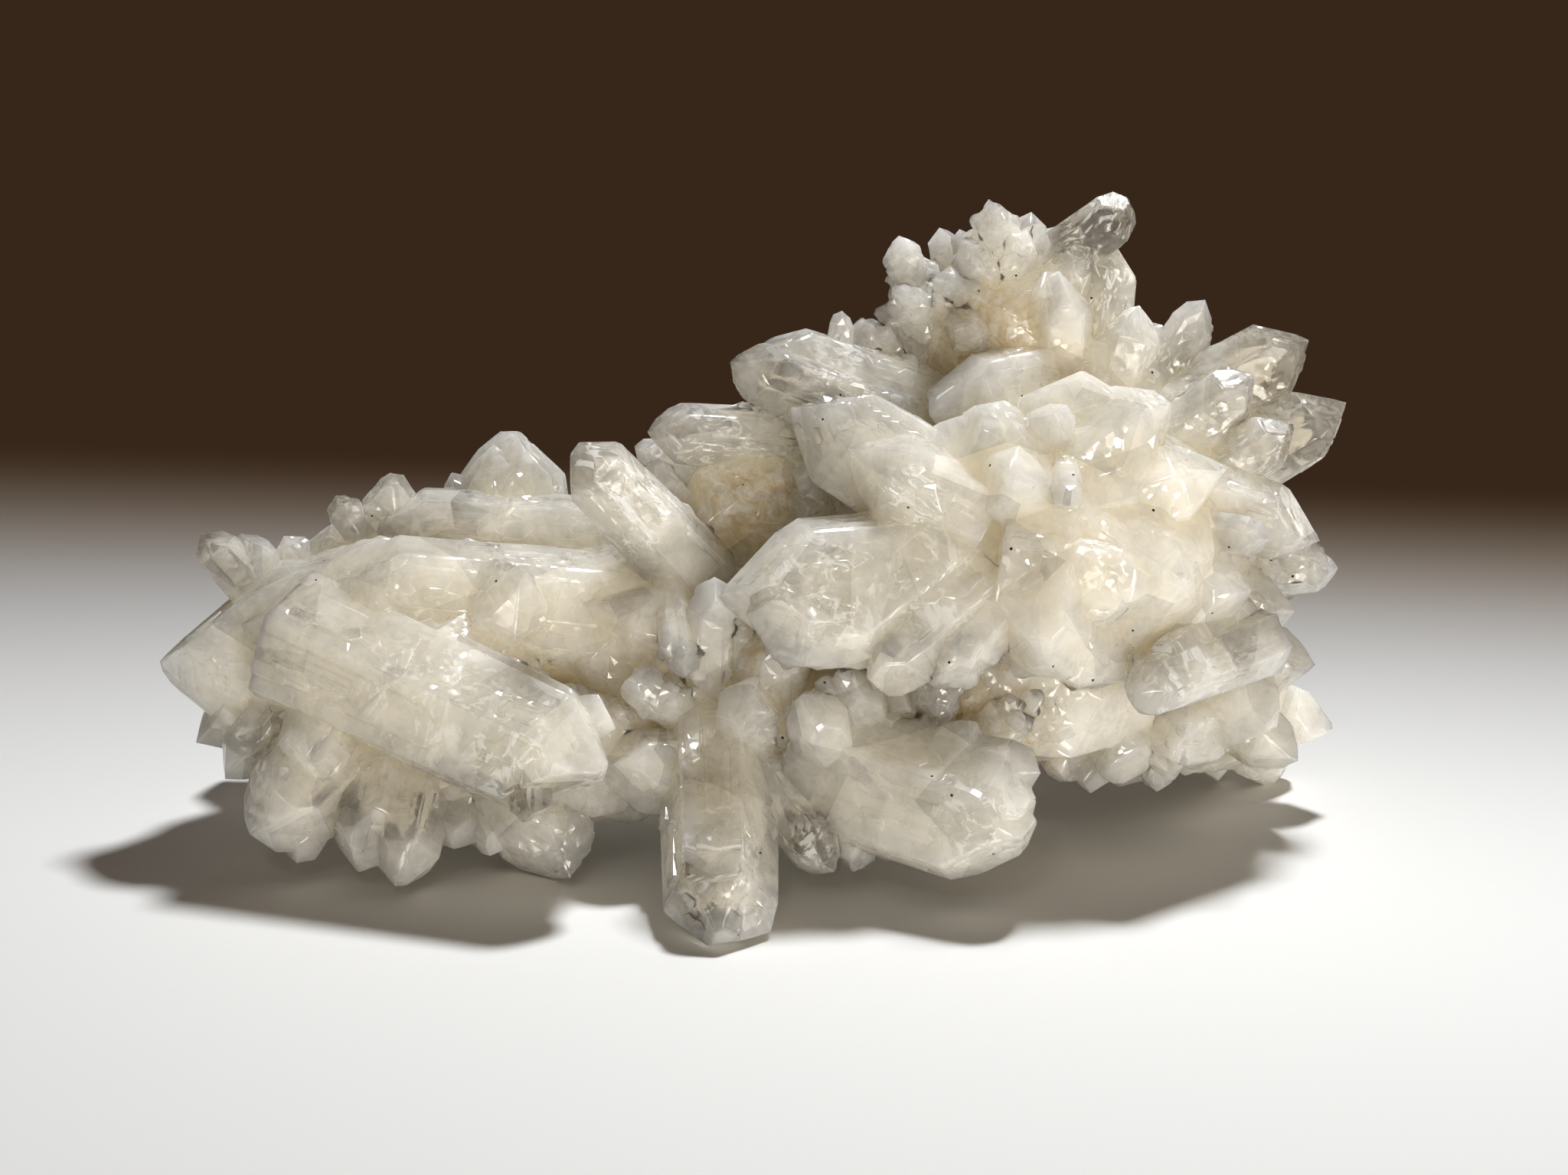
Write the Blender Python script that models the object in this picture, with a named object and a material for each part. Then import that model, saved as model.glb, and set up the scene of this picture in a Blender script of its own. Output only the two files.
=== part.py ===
"""Quartz crystal cluster: many six-sided crystals grown together round an irregular core.

Lengths are in millimetres until the mesh is placed, and then in metres. +Z is up and the
cluster rests on the plane z = 0.

Places are given as seen from the front, on an upright plane through the cluster's middle:
(across, up, depth), where depth runs back along the line of sight. seen() turns them into
places in space.
"""

import math
import random
from collections import namedtuple

import bmesh
import bpy
from mathutils import Matrix, Vector

MM = 0.001

# How the cluster is looked at
EYE_DISTANCE = 170.0
LOOK_DOWN = math.radians(15.0)
PLANE_HEIGHT = 17.5

# Quartz's own angle: a tip face leans this much from the prism face below it
TIP_FACE_LEAN = math.radians(38.2)
PRISM_TAPER = math.radians(1.6)
FLAT_VARIES = 0.10
APEX_VARIES = 0.16
MINOR_FACE_SETBACK = 0.34
SMALL_WIDTH = 3.5

CORE_POINTS = 28
CORE_ROUGHNESS = 0.13

PARALLEL_FROM = 5.6
PARALLEL_TWO_FROM = 7.0
PARALLEL_WIDTH = (0.48, 0.62)
PARALLEL_OFFSET = (0.26, 0.33)
PARALLEL_LENGTH = (0.62, 0.93)

SIDE_REACH = (0.62, 1.05)
SIDE_WIDTH = (0.46, 0.76)
SIDE_CLEARANCE = 1.2
SIDE_OUTLINE = 0.88

DRUSE_WIDTH = (1.5, 2.8)
DRUSE_LENGTH = (0.8, 2.0)

Crystal = namedtuple("Crystal", "tip root width flat roll blunt", defaults=(1.0, 0.0, 0.0))
Core = namedtuple("Core", "centre radii side_crystals")
Patch = namedtuple("Patch", "centre spread count aim")

# The irregular mass that the crystals share, one rough lump for each lobe
CORES = {
    "left_lobe": Core((-25.0, -4.5, 4.5), (12.4, 7.8, 10.0), 7),
    "neck": Core((-8.0, -3.5, 4.0), (9.0, 8.0, 7.5), 4),
    "lower_middle": Core((4.0, -8.5, 2.0), (9.5, 6.0, 7.5), 4),
    "right_lobe": Core((18.0, 2.5, 5.5), (14.5, 10.5, 13.8), 9),
    "summit": Core((14.4, 16.0, 8.5), (6.4, 6.6, 6.5), 4),
    "right_foot": Core((27.0, -7.0, 10.0), (7.0, 5.4, 8.0), 5),
    "saddle": Core((-1.5, 5.0, 5.0), (6.0, 5.0, 5.0), 1),
    "waist": Core((-13.0, -11.0, 0.0), (6.0, 5.0, 5.5), 1),
    "throat": Core((16.5, -6.0, 3.0), (9.0, 6.0, 7.5), 3),
    "lower_left": Core((-24.0, -11.5, 1.0), (9.0, 5.0, 5.0), 1),
}

LEFT_LOBE = [
    Crystal((-41.3, -4.4, 1), (-25, -4.0, 4), 11.0, 0.8, 22, 0.7),
    Crystal((-38.6, -9.8, 1), (-26, -3.0, 4), 6.0, 0.9, 8),
    Crystal((-38.2, 3.6, 2), (-32, -3, 4), 2.9, 1, 10),
    Crystal((-35.6, 3.6, 3), (-31, -3, 5), 2.8, 1, 25),
    Crystal((-32.7, 3.4, 4), (-29, -3, 6), 2.5),
    Crystal((-30.2, 4.2, 4), (-27, -3, 6), 2.8, 1, 15, 0.5),
    Crystal((-29.3, 6.0, 3), (-25.5, 0, 6), 2.2, 1, 30),
    Crystal((-24.6, 7.3, 4), (-29, 0.5, 7), 2.7, 1, 0),
    Crystal((-26.5, 4.0, 4), (-9, 2.6, 6), 5.4, 0.8, 8),
    Crystal((-18.4, 10.7, 8), (-17, -2, 9), 7.2, 1, 22, 0.5),
    Crystal((-21.7, 7.6, 7), (-18.5, 0, 8), 2.2),
    Crystal((-31.5, -0.6, -2), (-9, -3.0, 3), 9.0, 0.8, 12),
    Crystal((-35.5, -2.5, -3), (-21, -4.0, 2), 6.4, 0.9, 28),
    Crystal((-11.2, -13.0, -10), (-32, -3.4, -1), 7.9, 0.85, 18, 0.8),
    Crystal((-13.2, -10.6, -8), (-28, -2.6, 0), 5.4, 0.8, 4),
    Crystal((-27.4, -8.6, -8), (-18, -3.0, 1), 6.0, 1, 16),
    Crystal((-31.4, -12.9, -6), (-28.5, -3, 1), 4.6, 0.9, 4, 1.0),
    Crystal((-36.4, -12.6, -1), (-30, -4, 1), 3.6, 1, 12),
    Crystal((-34.8, -16.9, -5), (-25, -7, 2), 6.4, 0.9, 6, 0.7),
    Crystal((-31.7, -18.1, -4), (-29.5, -11, 0), 2.5),
    Crystal((-27.4, -18.7, -6), (-24.5, -7, 2), 5.2, 0.9, 26),
    Crystal((-25.2, -19.6, -7), (-23, -9, 1), 4.0, 1, 8, 0.4),
    Crystal((-21.4, -17.3, -4), (-20.5, -9, 2), 2.8),
    Crystal((-19.2, -17.6, -4), (-18.5, -9, 2), 2.4, 1, 20),
    Crystal((-14.3, -18.9, -4), (-20, -8, 2), 6.0, 0.9, 14),
    Crystal((-16.3, -14.6, -11.5), (-17.5, -8, -1), 3.1, 1, 12),
    Crystal((-11.4, -8.2, -8), (-18, -9.5, -1), 3.2, 1, 18),
    Crystal((-29.5, 0.8, -1.5), (-20, -5, 3), 4.6, 1, 20),
    Crystal((-17.0, 1.2, -5), (-20, -5, 2), 5.2, 1, 8),
]

MIDDLE = [
    Crystal((-14.0, 9.5, -6), (-5.0, 0.2, 1), 4.6, 0.9, 14, 0.4),
    Crystal((-9.0, 10.2, 1), (4, 9.2, 6), 4.0, 0.9, 6),
    Crystal((-9.8, 9.3, 4), (-3, 7.0, 6), 1.9),
    Crystal((-9.1, 8.2, 2), (-4, 2.5, 4), 2.0, 1, 18),
    Crystal((-6.4, -5.8, -5), (-7.4, 2.0, 0), 1.8, 1, 8),
    Crystal((-7.4, -4.6, -5), (-8.0, 2.0, 0), 1.5, 1, 24),
    Crystal((-4.5, 0.7, -4), (-4.6, -8.0, -1), 3.1, 1, 4),
    Crystal((-2.7, -0.6, -3), (-2.4, -8.0, -1), 2.8, 1, 12),
    Crystal((-13.2, -0.8, -2), (-3, -4.5, 2), 5.8, 1, 16),
    Crystal((-10.5, -6.0, -5), (-4.5, -9.5, -1), 2.4, 1, 10),
    Crystal((-8.3, -5.9, -3), (-5, -10, 0), 2.2, 1, 22),
    Crystal((-4.1, -24.0, -14.5), (-4.3, -9.0, 0), 6.8, 1, 5, 0.8),
    Crystal((-12.6, -12.2, -5), (-2, -12.0, -1), 5.0, 1, 12),
    Crystal((-12.2, -14.8, -2), (-5, -10.5, 1), 3.6, 1, 0),
    Crystal((3.3, -18.6, -7), (-2.5, -11, -3), 3.6, 1, 12),
    Crystal((4.6, -18.7, -5), (4.4, -10, -3), 2.9, 1, 18, 0.3),
    Crystal((17.0, -17.0, -11), (1.5, -11.4, -3), 7.0, 0.85, 12, 1.3),
    Crystal((16.8, -14.4, -11.5), (4.0, -10.4, -3), 4.6, 0.9, 24, 0.8),
    Crystal((12.4, -8.8, -9), (9.5, -15, -6), 3.6, 1, 10),
    Crystal((16.8, -12.2, -10), (7, -10.8, -5), 3.3, 1, 4),
    Crystal((1.2, -7.2, -9), (5, -13, -3), 3.6, 1, 0),
    Crystal((4.3, -5.4, -7), (5.5, -12, -2), 3.4, 1, 18),
    Crystal((-0.6, -1.6, -4), (-0.8, -12, -2), 4.4, 0.9, 8),
    Crystal((-2.3, -5.6, -6), (-2.4, -12, -2), 4.0, 1, 22),
]

RIGHT_LOBE = [
    Crystal((-4.2, -0.2, -8), (19, 1.0, -1.5), 8.4, 0.85, 14),
    Crystal((-2.6, -2.0, -9.5), (9, -1.8, -5), 5.8, 0.8, 28),
    Crystal((1.7, -4.7, -9), (10.5, 2.5, -5), 4.6, 0.9, 8),
    Crystal((5.4, -6.6, -8.6), (13.5, 0.6, -5), 4.2, 0.9, 20, 0.5),
    Crystal((9.6, -6.2, -8.2), (16.5, 1.2, -4.5), 3.8, 1, 6),
    Crystal((18.5, 5.3, -9.3), (18.3, 8.6, -4), 2.0, 1, 0),
    Crystal((16.4, -6.8, -7.2), (17.4, 4.5, -4.2), 6.6, 0.9, 16, 1.2),
    Crystal((26.0, -0.6, -5.6), (14.0, 1.4, -4.8), 6.8, 0.85, 4, 1.4),
    Crystal((23.2, -5.6, -5.6), (15.5, -1.4, -4.4), 5.0, 0.9, 24, 0.8),
    Crystal((0.4, 11.6, -2), (12, 4.6, -2.5), 6.2, 0.9, 20),
    Crystal((4.2, 9.2, -5.5), (13, 4.2, -4.5), 5.0, 1, 6),
    Crystal((12.6, 8.2, -9.4), (13.6, 6.6, 0), 8.4, 0.9, 22, 3.6),
    Crystal((7.4, 4.8, -9.2), (9.6, 5.0, 0), 5.6, 0.9, 2, 2.4),
    Crystal((21.6, 8.4, -9.2), (20.4, 6.8, 0), 6.0, 1, 16, 3.0),
    Crystal((19.2, 12.8, -6.8), (18.4, 9.6, 0), 6.4, 0.9, 26, 3.0),
    Crystal((25.6, 5.0, -6.8), (22.6, 4.0, 0), 5.8, 1, 10, 2.2),
    Crystal((25.8, 12.6, -3), (16.5, 6.0, -3), 5.6, 1, 8, 1.0),
    Crystal((29.0, 7.6, -3.4), (19.5, 4.6, -3), 5.2, 1, 16),
    Crystal((9.6, 11.2, -1), (24, 14.0, 8), 6.2, 0.9, 10),
    Crystal((34.3, 16.1, 6), (20, 8.0, 6), 5.2, 0.9, 10),
    Crystal((36.8, 12.0, 5), (22, 3.5, 6), 5.4, 0.9, 22),
    Crystal((33.4, 10.6, 0), (24, 4.5, 3), 3.7, 1, 6),
    Crystal((30.7, 14.0, 1), (22, 6.5, 3), 3.7, 1, 14),
    Crystal((27.6, 18.8, 6), (22, 9.5, 7), 3.0, 1, 4),
    Crystal((35.1, 3.4, 0), (22, 7.5, 1), 5.0, 0.9, 18),
    Crystal((36.2, 1.6, 4), (26, 0.5, 6), 3.4, 1, 8),
    Crystal((31.8, 3.2, -4), (25, 4.0, 0), 2.6, 1, 20),
    Crystal((30.8, 0.2, -4), (22, 0.0, -1), 5.6, 1, 10),
    Crystal((22.4, -7.1, -8.5), (31.5, -3.6, 0), 3.9, 0.9, 14),
    Crystal((24.2, -5.0, -7), (29.5, -1.2, 0), 2.3, 1, 0),
    Crystal((34.9, -4.8, 5), (26, -4.0, 7), 4.4, 1, 12),
    Crystal((36.0, -9.4, 9), (26, -7.0, 10), 4.4, 1, 26),
    Crystal((33.4, -1.4, 1), (26, -1.0, 4), 5.2, 1, 4),
]

SUMMIT = [
    Crystal((-3.6, 14.7, -1), (9, 10.5, 5), 4.0, 1, 8),
    Crystal((-1.8, 15.6, 2), (11, 11.0, 6), 4.6, 0.9, 20),
    Crystal((3.9, 18.1, 3), (3.0, 11.5, 5), 1.7, 1, 10),
    Crystal((4.8, 17.8, 5), (8.0, 11.0, 7), 3.2, 1, 25, 0.4),
    Crystal((6.9, 18.7, 5), (10.5, 14.0, 8), 2.0),
    Crystal((7.4, 19.6, 4), (12.0, 15.5, 8), 3.2, 1, 14),
    Crystal((8.1, 21.2, 6), (12.5, 16.5, 9), 2.5, 1, 6),
    Crystal((10.0, 23.5, 7), (12.5, 17.0, 9), 2.2, 1, 20),
    Crystal((11.4, 23.5, 9), (13.0, 17.0, 10), 2.6),
    Crystal((13.7, 24.3, 7), (14.0, 17.0, 9), 2.1, 1, 12),
    Crystal((16.2, 24.6, 7), (15.0, 17.0, 9), 2.8, 1, 4),
    Crystal((18.3, 23.9, 8), (16.0, 17.0, 9), 2.6, 1, 24),
    Crystal((23.0, 25.3, 3), (13.5, 18.2, 8), 3.3, 0.95, 10, 0.4),
    Crystal((21.4, 22.9, 6), (20.0, 11.0, 7), 4.2, 0.9, 22),
    Crystal((18.2, 20.6, 2), (18.0, 11.0, 6), 4.0, 1, 8),
    Crystal((23.3, 18.6, 4), (20.5, 10.0, 6), 4.0, 1, 0),
]

RIGHT_FOOT = [
    Crystal((28.4, -12.6, 16), (27.0, -5.0, 12), 3.2, 1, 6),
    Crystal((31.9, -13.1, 16.5), (28.5, -4.0, 12), 5.2, 1, 18),
    Crystal((20.8, -12.3, 0), (25.5, -6.0, 7), 3.8, 1, 10),
    Crystal((22.6, -4.6, -1), (22.0, -11.5, 5), 3.8, 1, 16),
    Crystal((17.6, -12.6, 2), (21.0, -7.0, 6), 4.4, 1, 0),
    Crystal((33.6, -11.2, 4), (27.0, -7.0, 8), 4.0, 1, 20),
    Crystal((25.4, -11.6, -1), (27.5, -6.5, 6), 5.0, 1, 8),
    Crystal((30.2, -10.2, -1), (28.5, -5.5, 6), 5.4, 1, 22),
]

# Crystals under the cluster, out of sight, which reach the table with the front one
HIDDEN_FEET = [
    Crystal((-24.0, -14.2, 13), (-23.0, -4.0, 7), 6.0, 1, 10),
    Crystal((27.0, -10.8, 24), (25.0, -3.0, 14), 5.4, 1, 10),
]

# Small crystals that crowd together in the hollows and along the summit
DRUSE = [
    Patch((10.4, 20.6, 4), (2.6, 2.0, 2.0), 8, (-0.7, 0.6, -0.4)),
    Patch((15.6, 22.6, 5), (3.4, 1.0, 2.0), 7, (0.0, 0.9, -0.4)),
    Patch((18.6, 21.4, 5), (1.4, 1.0, 1.6), 5, (0.5, 0.7, -0.4)),
    Patch((14.5, 17.5, 3.5), (4.0, 2.4, 1.5), 6, (-0.1, 0.3, -1.0)),
    Patch((-1.5, 5.6, 1.0), (3.6, 1.6, 1.5), 5, (-0.2, 0.3, -1.0)),
    Patch((11.0, -8.6, -4.0), (5.0, 1.6, 1.5), 6, (0.1, -0.4, -1.0)),
    Patch((22.0, -11.8, 3.0), (4.5, 0.8, 2.0), 6, (0.0, -0.9, -0.4)),
    Patch((-20.0, -15.0, 1.0), (3.0, 0.9, 1.5), 4, (0.1, -1.0, -0.3)),
]


def seen(across, up, depth):
    """The place in space, in mm, of a point on the front plane moved back by depth."""
    spread = (EYE_DISTANCE + depth) / EYE_DISTANCE
    forward = Vector((0, math.cos(LOOK_DOWN), -math.sin(LOOK_DOWN)))
    upward = Vector((0, math.sin(LOOK_DOWN), math.cos(LOOK_DOWN)))
    middle = Vector((0, 0, PLANE_HEIGHT))
    return middle + Vector((across * spread, 0, 0)) + upward * up * spread + forward * depth


def seen_direction(across, up, depth):
    """A unit direction in space given as seen from the front."""
    return (seen(across, up, depth) - seen(0, 0, 0)).normalized()


def cut(bm, point, normal):
    """Takes away what lies beyond a plane and closes the cut with one flat face."""
    geometry = bm.verts[:] + bm.edges[:] + bm.faces[:]
    found = bmesh.ops.bisect_plane(
        bm, geom=geometry, dist=1e-5, plane_co=point, plane_no=normal, clear_outer=True
    )
    edges = [e for e in found["geom_cut"] if isinstance(e, bmesh.types.BMEdge)]
    if edges:
        bmesh.ops.holes_fill(bm, edges=edges, sides=0)


def face_normal(angle, lean):
    return Vector((math.cos(angle) * math.cos(lean), math.sin(angle) * math.cos(lean), math.sin(lean)))


def crystal_bmesh(crystal, length, rng):
    """One crystal along +Z from its root at 0: six prism faces, six tip faces and any broken end."""
    bm = bmesh.new()
    bmesh.ops.create_cube(bm, size=1)
    block = Matrix.Diagonal((3 * crystal.width, 3 * crystal.width, length + crystal.width, 1))
    bmesh.ops.transform(bm, matrix=block, verts=bm.verts)
    bmesh.ops.translate(bm, vec=(0, 0, (length + crystal.width) / 2), verts=bm.verts)
    half = crystal.width / 2
    apex = Vector((rng.uniform(-1, 1), rng.uniform(-1, 1), 0)) * half * APEX_VARIES
    apex.z = length
    for side in range(6):
        angle = math.radians(30 + 60 * side + crystal.roll)
        reach = half * math.hypot(math.cos(angle), crystal.flat * math.sin(angle))
        reach *= 1 + rng.uniform(-FLAT_VARIES, FLAT_VARIES)
        outward = face_normal(angle, PRISM_TAPER)
        cut(bm, outward * reach + Vector((0, 0, length / 2)), outward)
        if side % 2 and crystal.width < SMALL_WIDTH:
            continue
        setback = rng.uniform(0, MINOR_FACE_SETBACK) if side % 2 else rng.uniform(-0.06, 0.06)
        tip_outward = face_normal(angle, TIP_FACE_LEAN)
        cut(bm, apex + tip_outward * half * setback, tip_outward)
    if crystal.blunt:
        lean = Vector((rng.uniform(-0.3, 0.3), rng.uniform(-0.3, 0.3), 1)).normalized()
        cut(bm, Vector((0, 0, length - crystal.blunt)), lean)
    return bm


def standing_frame(tip, root):
    """Turns +Z to the crystal's axis and +Y as nearly towards the viewer as it can be."""
    axis = (tip - root).normalized()
    viewer = -seen_direction(0, 0, 1)
    towards = viewer - axis * viewer.dot(axis)
    if towards.length < 0.05:
        towards = Vector((1, 0, 0)) - axis * axis.x
    towards.normalize()
    across = towards.cross(axis)
    turn = Matrix((across, towards, axis)).transposed().to_4x4()
    return Matrix.Translation(root) @ turn


def grow(name, crystal, seed, tip=None, root=None):
    """Makes one crystal as a helper object that the cluster is joined from."""
    tip = tip or seen(*crystal.tip)
    root = root or seen(*crystal.root)
    bm = crystal_bmesh(crystal, (tip - root).length, random.Random(seed))
    bmesh.ops.transform(bm, matrix=standing_frame(tip, root), verts=bm.verts)
    return helper(name, bm)


def grow_parallel(name, crystal, seed):
    """Thinner crystals that grow along a thick one and stand out of its faces as low steps."""
    rng = random.Random(seed)
    tip, root = seen(*crystal.tip), seen(*crystal.root)
    axis = tip - root
    turn = standing_frame(tip, root).to_3x3()
    start = rng.uniform(0, 360)
    for k in range(2 if crystal.width >= PARALLEL_TWO_FROM else 1):
        around = math.radians(start + k * 137 + rng.uniform(-20, 20))
        reach = crystal.width * rng.uniform(*PARALLEL_OFFSET)
        offset = turn @ Vector((math.cos(around) * reach, math.sin(around) * reach * crystal.flat, 0))
        width = crystal.width * rng.uniform(*PARALLEL_WIDTH)
        length = rng.uniform(*PARALLEL_LENGTH)
        thin = Crystal(None, None, width, crystal.flat, crystal.roll + rng.uniform(-3, 3))
        grow(f"{name}_parallel_{k}", thin, seed + 7 * k, root + offset + axis * length, root + offset)


def helper(name, bm):
    """A closed mesh in metres that is only there to be joined into the cluster."""
    bmesh.ops.scale(bm, vec=(MM, MM, MM), verts=bm.verts)
    bmesh.ops.recalc_face_normals(bm, faces=bm.faces)
    mesh = bpy.data.meshes.new(name)
    bm.to_mesh(mesh)
    bm.free()
    made = bpy.data.objects.new(name, mesh)
    made.hide_render = True
    made.display_type = "WIRE"
    growth.objects.link(made)
    return made


def core_lump(name, core, seed):
    """A rough lump with broken flat sides: the hull of jittered points on an ellipsoid."""
    rng = random.Random(seed)
    bm = bmesh.new()
    centre = seen(*core.centre)
    across, up, depth = (seen_direction(*way) for way in ((1, 0, 0), (0, 1, 0), (0, 0, 1)))
    for direction in spread_directions(CORE_POINTS):
        size = 1 + rng.uniform(-CORE_ROUGHNESS, CORE_ROUGHNESS)
        x, y, z = (direction[i] * core.radii[i] * size for i in range(3))
        bm.verts.new(centre + across * x + up * y + depth * z)
    bmesh.ops.convex_hull(bm, input=bm.verts)
    return helper(name, bm)


def spread_directions(count):
    """Evenly spread unit directions, on a golden-angle spiral."""
    golden = math.pi * (3 - math.sqrt(5))
    for k in range(count):
        height = 1 - 2 * (k + 0.5) / count
        ring = math.sqrt(1 - height * height)
        yield Vector((ring * math.cos(golden * k), ring * math.sin(golden * k), height))


def side_crystals(name, core, seed):
    """Crystals on the sides of a lobe that face away, within the outline seen from the front."""
    rng = random.Random(seed)
    centre = Vector(core.centre)
    directions = [d for d in spread_directions(4 * core.side_crystals) if d.z > -0.1]
    for k, direction in enumerate(directions[::2][: core.side_crystals]):
        jitter = Vector((rng.uniform(-1, 1), rng.uniform(-1, 1), rng.uniform(-1, 1))) * 0.35
        width = rng.uniform(*SIDE_WIDTH) * min(core.radii)
        shell = Vector(direction[i] * core.radii[i] for i in range(3))
        spot = centre + shell + (direction + jitter) * width * 1.3 * rng.uniform(*SIDE_REACH)
        across = (spot.x - centre.x) / core.radii[0]
        up = (spot.y - centre.y) / core.radii[1]
        pull = min(1, SIDE_OUTLINE / max(0.01, math.hypot(across, up)))
        spot.x = centre.x + (spot.x - centre.x) * pull
        spot.y = centre.y + (spot.y - centre.y) * pull
        tip = seen(*spot)
        root = seen(*(centre + shell * 0.2))
        if tip.z < SIDE_CLEARANCE:
            tip.z = SIDE_CLEARANCE + rng.uniform(0, 1)
        crystal = Crystal(None, None, width, 1.0, rng.uniform(0, 60))
        grow(f"{name}_side_{k}", crystal, seed * 100 + k, tip, root)


def druse(name, patch, seed):
    """A crowd of small crystals that all point about the same way."""
    rng = random.Random(seed)
    aim = seen_direction(*patch.aim)
    for k in range(patch.count):
        offset = [rng.uniform(-1, 1) * patch.spread[i] for i in range(3)]
        root = seen(*(patch.centre[i] + offset[i] for i in range(3)))
        jitter = Vector((rng.uniform(-1, 1), rng.uniform(-1, 1), rng.uniform(-1, 1))) * 0.5
        width = rng.uniform(*DRUSE_WIDTH)
        tip = root + (aim + jitter).normalized() * rng.uniform(*DRUSE_LENGTH)
        buried = root - (tip - root).normalized() * 3.0
        crystal = Crystal(None, None, width, 1.0, rng.uniform(0, 60))
        grow(f"{name}_{k}", crystal, seed * 100 + k, tip, buried)


def grow_everything():
    """The cores and every crystal, as helper objects."""
    for n, (name, core) in enumerate(CORES.items()):
        core_lump(f"core_{name}", core, n)
        side_crystals(name, core, 10 + n)
    named = {
        "left_lobe": LEFT_LOBE,
        "middle": MIDDLE,
        "right_lobe": RIGHT_LOBE,
        "summit": SUMMIT,
        "right_foot": RIGHT_FOOT,
        "hidden_feet": HIDDEN_FEET,
    }
    for g, (group, crystals) in enumerate(named.items()):
        for k, crystal in enumerate(crystals):
            seed = 1000 * (g + 1) + k
            grow(f"{group}_{k}", crystal, seed)
            if crystal.width >= PARALLEL_FROM and group != "hidden_feet":
                grow_parallel(f"{group}_{k}", crystal, seed)
    for n, patch in enumerate(DRUSE):
        druse(f"druse_{n}", patch, 500 + n)


def quartz_material():
    material = bpy.data.materials.new("quartz")
    material.use_nodes = True
    shader = material.node_tree.nodes["Principled BSDF"]
    shader.inputs["Base Color"].default_value = (0.80, 0.77, 0.68, 1)
    shader.inputs["Roughness"].default_value = 0.18
    shader.inputs["Metallic"].default_value = 0.0
    shader.inputs["IOR"].default_value = 1.544
    shader.inputs["Transmission Weight"].default_value = 0.6
    return material


def join_growth(name):
    """All the helpers joined in one closed solid, cut level where it stands on the table."""
    first, *others = list(growth.objects)
    joined = bpy.data.objects.new(name, first.data.copy())
    bpy.context.scene.collection.objects.link(joined)
    growth.objects.unlink(first)
    union = joined.modifiers.new("grown together", "BOOLEAN")
    union.operation = "UNION"
    union.operand_type = "COLLECTION"
    union.collection = growth
    union.solver = "EXACT"
    graph = bpy.context.evaluated_depsgraph_get()
    whole = bpy.data.meshes.new_from_object(joined.evaluated_get(graph))
    joined.modifiers.clear()
    joined.data = whole
    return joined


def keep_outer_shell(obj):
    """Fills the gaps closed in between crystals, so that only the outside is left."""
    bm = bmesh.new()
    bm.from_mesh(obj.data)
    shells = []
    waiting = set(bm.verts)
    while waiting:
        shell = {waiting.pop()}
        edge_of_shell = list(shell)
        while edge_of_shell:
            for edge in edge_of_shell.pop().link_edges:
                for vert in edge.verts:
                    if vert not in shell:
                        shell.add(vert)
                        edge_of_shell.append(vert)
        waiting -= shell
        shells.append(shell)
    shells.sort(key=len)
    inside = [vert for shell in shells[:-1] for vert in shell]
    print("shells filled or dropped:", [len(shell) for shell in shells[:-1]])
    bmesh.ops.delete(bm, geom=inside, context="VERTS")
    bm.to_mesh(obj.data)
    bm.free()


def stand_on_table(obj):
    """Cuts the lowest tips level at z = 0 and puts the origin at the middle of the base."""
    bm = bmesh.new()
    bm.from_mesh(obj.data)
    found = bmesh.ops.bisect_plane(
        bm,
        geom=bm.verts[:] + bm.edges[:] + bm.faces[:],
        dist=1e-7,
        plane_co=(0, 0, 0),
        plane_no=(0, 0, -1),
        clear_outer=True,
    )
    edges = [e for e in found["geom_cut"] if isinstance(e, bmesh.types.BMEdge)]
    bmesh.ops.holes_fill(bm, edges=edges, sides=0)
    low = Vector(min(v.co[i] for v in bm.verts) for i in range(3))
    high = Vector(max(v.co[i] for v in bm.verts) for i in range(3))
    shift = Vector((-(low.x + high.x) / 2, -(low.y + high.y) / 2, -low.z))
    bmesh.ops.translate(bm, vec=shift, verts=bm.verts)
    bm.to_mesh(obj.data)
    bm.free()
    print("moved by", [round(1000 * s, 2) for s in shift])


for old in list(bpy.data.objects):
    bpy.data.objects.remove(old)
growth = bpy.data.collections.new("growth")
bpy.context.scene.collection.children.link(growth)
grow_everything()
cluster = join_growth("quartz_cluster")
keep_outer_shell(cluster)
cluster.data.materials.clear()
cluster.data.materials.append(quartz_material())
stand_on_table(cluster)
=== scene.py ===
import math
import random

import bmesh
import bpy
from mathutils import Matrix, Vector, noise
from mathutils.bvhtree import BVHTree
from mathutils.geometry import delaunay_2d_cdt


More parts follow.
